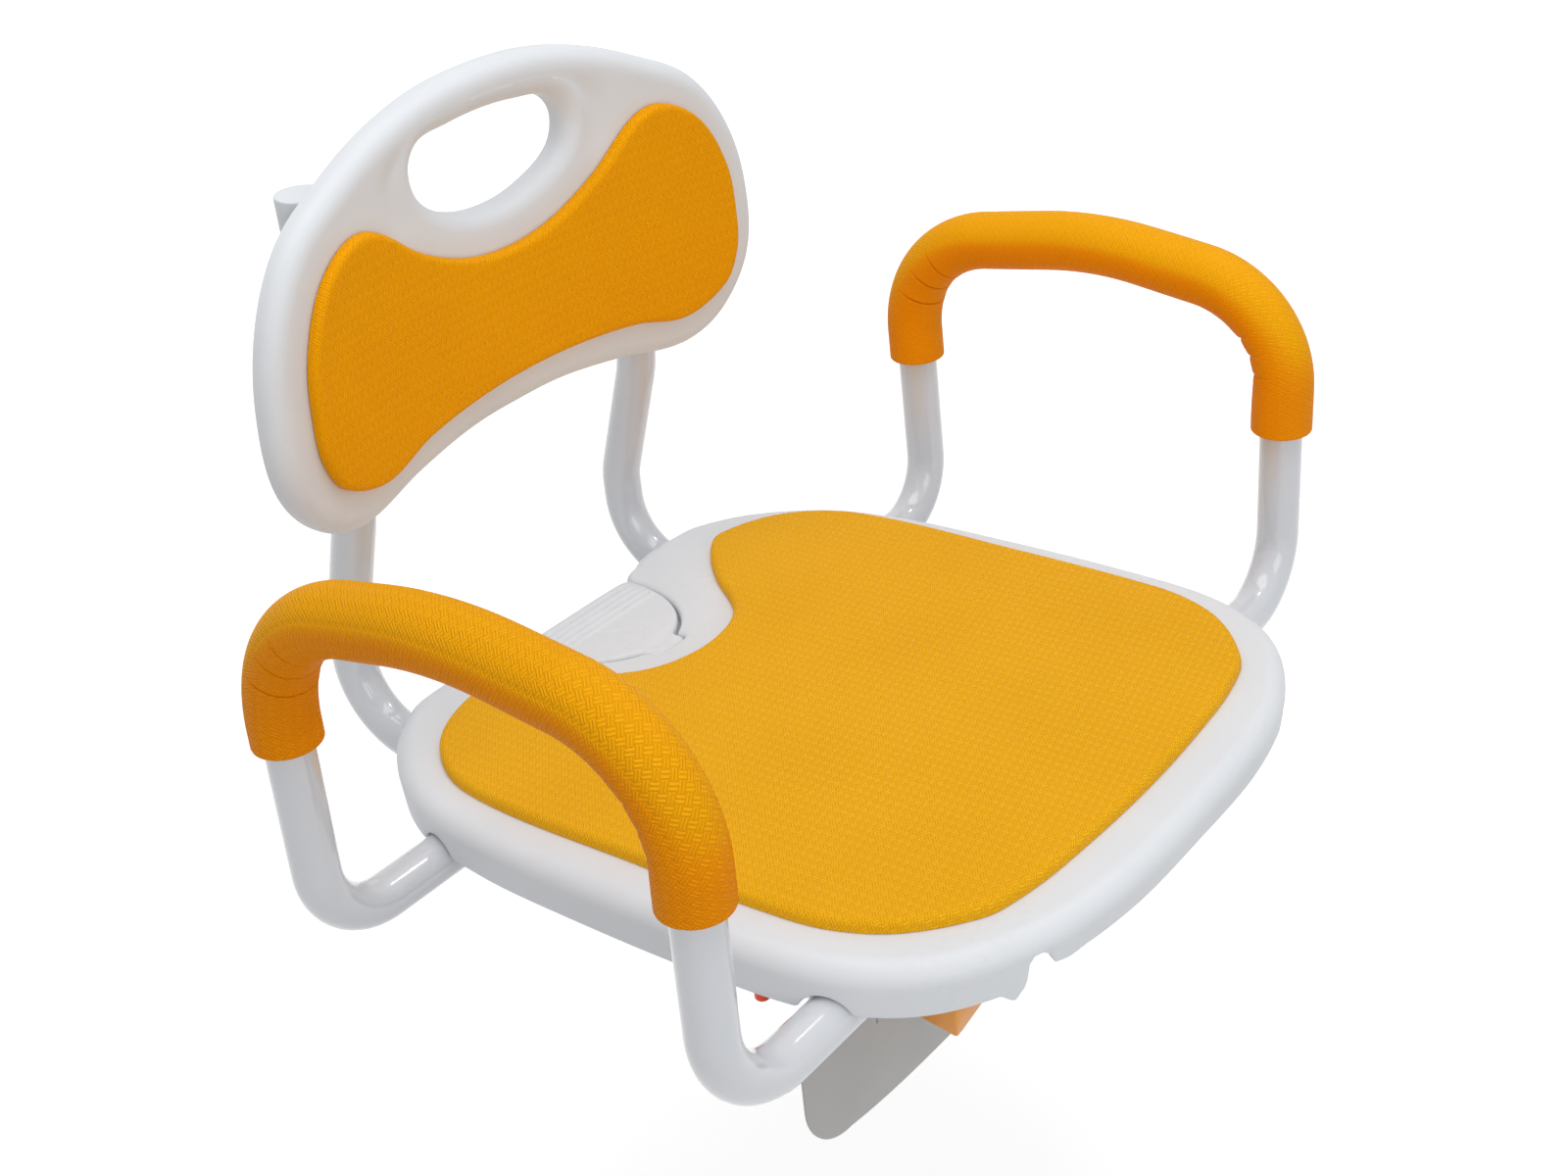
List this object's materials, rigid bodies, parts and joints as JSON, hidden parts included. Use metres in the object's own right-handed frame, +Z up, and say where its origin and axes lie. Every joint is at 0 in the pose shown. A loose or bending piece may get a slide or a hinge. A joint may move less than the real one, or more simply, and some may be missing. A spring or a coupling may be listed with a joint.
{
  "type": "swivel bath seat",
  "caption": "Turning bath seat with padded armrests, a padded backrest with a hand opening, release levers and a hanging guard plate.",
  "frame": {"origin": "centre of the mount plate's underside, on the turning axis", "axes": "+Z up along the turning axis; the seat faces -Y at rest; +X is the sitter's left"},
  "size_m": [0.618, 0.5337, 0.4967],
  "materials": {
    "white_plastic": "satin",
    "orange_foam": "embossed matte foam",
    "white_coating": "gloss",
    "bright_steel": "satin",
    "black_polymer": "matte",
    "grey_sheet": "matte",
    "orange_plastic": "satin",
    "red_plastic": "satin"
  },
  "bodies": {
    "base": {"mount_plate": "bright_steel", "bearing_hub": "white_plastic", "index_ring": "bright_steel", "spindle": "bright_steel", "spindle_washer": "bright_steel", "spindle_nut": "bright_steel", "thrust_bearing": "black_polymer", "index_screw_1": "bright_steel", "index_screw_2": "bright_steel", "index_screw_3": "bright_steel", "index_screw_4": "bright_steel"},
    "seat": {"arm_grip_left": "orange_foam", "arm_grip_right": "orange_foam", "arm_tube_left": "white_coating", "arm_tube_right": "white_coating", "back_cap_left": "white_plastic", "back_cap_right": "white_plastic", "back_socket_left": "bright_steel", "back_socket_right": "bright_steel", "back_tube_left": "white_coating", "back_tube_right": "white_coating", "backrest_pad": "orange_foam", "backrest_screw_1": "bright_steel", "backrest_screw_2": "bright_steel", "backrest_screw_3": "bright_steel", "backrest_screw_4": "bright_steel", "backrest_shell": "white_plastic", "centre_rail_left": "bright_steel", "centre_rail_right": "bright_steel", "front_lever_axle": "bright_steel", "front_socket": "bright_steel", "guard_plate": "grey_sheet", "guard_screw_1": "bright_steel", "guard_screw_2": "bright_steel", "latch_guide": "bright_steel", "lever_spring": "bright_steel", "pivot_bushing": "black_polymer", "rear_socket": "bright_steel", "rod_hanger": "black_polymer", "seat_pad": "orange_foam", "seat_screw_1": "bright_steel", "seat_screw_2": "bright_steel", "seat_screw_3": "bright_steel", "seat_screw_4": "bright_steel", "seat_shell": "white_plastic", "shaft_lug_left": "bright_steel", "shaft_lug_right": "bright_steel", "side_rail_left": "bright_steel", "side_rail_right": "bright_steel", "turntable_bolt_1": "bright_steel", "turntable_bolt_2": "bright_steel", "turntable_bolt_3": "bright_steel", "turntable_bolt_4": "bright_steel", "turntable_plate": "bright_steel"},
    "release_lever": {"release_tongue": "white_plastic", "release_shaft": "bright_steel"},
    "front_lever": {"front_lever": "orange_plastic"},
    "latch": {"latch_bolt": "bright_steel"},
    "arm_lock_left": {"arm_button_left": "red_plastic"},
    "arm_lock_right": {"arm_button_right": "red_plastic"}
  },
  "joints": [
    {"name": "seat_swivel", "type": "hinge", "parent": "base", "child": "seat", "pos_m": [0, 0, 0], "axis": [0, 0, 1], "continuous": true},
    {"name": "release_lever_press", "type": "hinge", "parent": "seat", "child": "release_lever", "pos_m": [0, 0.17, 0.078], "axis": [-1, 0, 0], "range_deg": [0, 3.9], "stiffness_Nm_per_rad": 0.6, "springref_deg": -5.73},
    {"name": "latch_slide", "type": "slide", "parent": "seat", "child": "latch", "axis": [0, -1, 0], "range_m": [0, 0.0045]},
    {"name": "front_lever_lift", "type": "hinge", "parent": "seat", "child": "front_lever", "pos_m": [0, -0.098, 0.04], "axis": [-1, 0, 0], "range_deg": [0, 10.4]},
    {"name": "arm_lock_left_press", "type": "slide", "parent": "seat", "child": "arm_lock_left", "axis": [0, 0, 1], "range_m": [0, 0.003], "stiffness_N_per_m": 200, "springref_m": -0.003},
    {"name": "arm_lock_right_press", "type": "slide", "parent": "seat", "child": "arm_lock_right", "axis": [0, 0, 1], "range_m": [0, 0.003], "stiffness_N_per_m": 200, "springref_m": -0.003}
  ],
  "couplings": [
    {"joint": "latch_slide", "follows": "release_lever_press", "m_per_rad": 0.062},
    {"joint": "front_lever_lift", "follows": "release_lever_press", "ratio": 2.5833}
  ]
}
